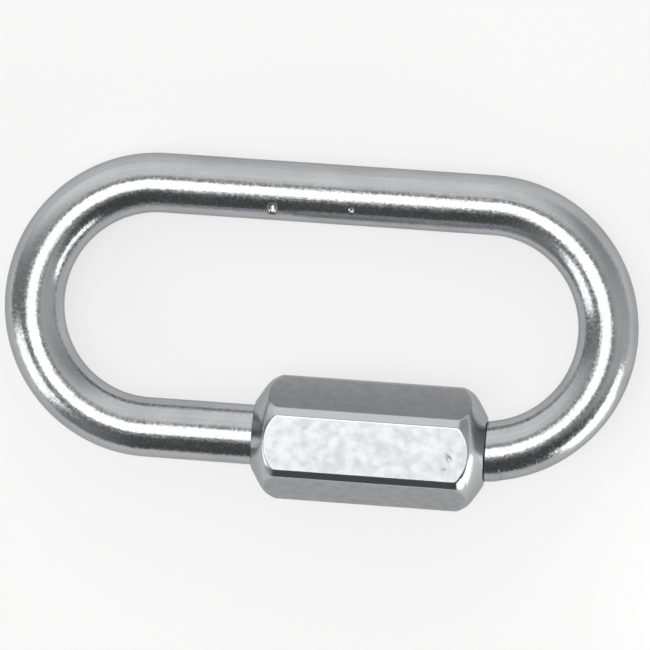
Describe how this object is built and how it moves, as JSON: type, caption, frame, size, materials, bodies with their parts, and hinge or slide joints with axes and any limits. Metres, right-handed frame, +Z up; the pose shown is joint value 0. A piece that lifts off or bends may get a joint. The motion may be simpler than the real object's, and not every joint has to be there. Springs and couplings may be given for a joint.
{
  "type": "chain quick link",
  "caption": "Oval quick link of zinc-plated steel rod that joins chain; a long hexagonal sleeve nut screws across the gap in its side to close it.",
  "frame": {"origin": "centre of the bounding box on the surface that the link lies on", "axes": "+X along the bars towards the nut's closed end, +Y from the nut's bar to the plain bar, +Z up"},
  "size_m": [0.0422, 0.0224, 0.0074],
  "materials": {
    "zinc_plated_rod": "bright zinc plating on drawn steel rod",
    "zinc_plated_nut": "bright zinc plating on drawn hexagonal steel, turned ends"
  },
  "bodies": {
    "link": {"link_body": "zinc_plated_rod"},
    "nut": {"sleeve_nut": "zinc_plated_nut"}
  },
  "joints": [
    {"name": "nut_travel", "type": "slide", "parent": "link", "child": "nut", "axis": [-1, 0, 0], "range_m": [0, 0.0063]}
  ]
}
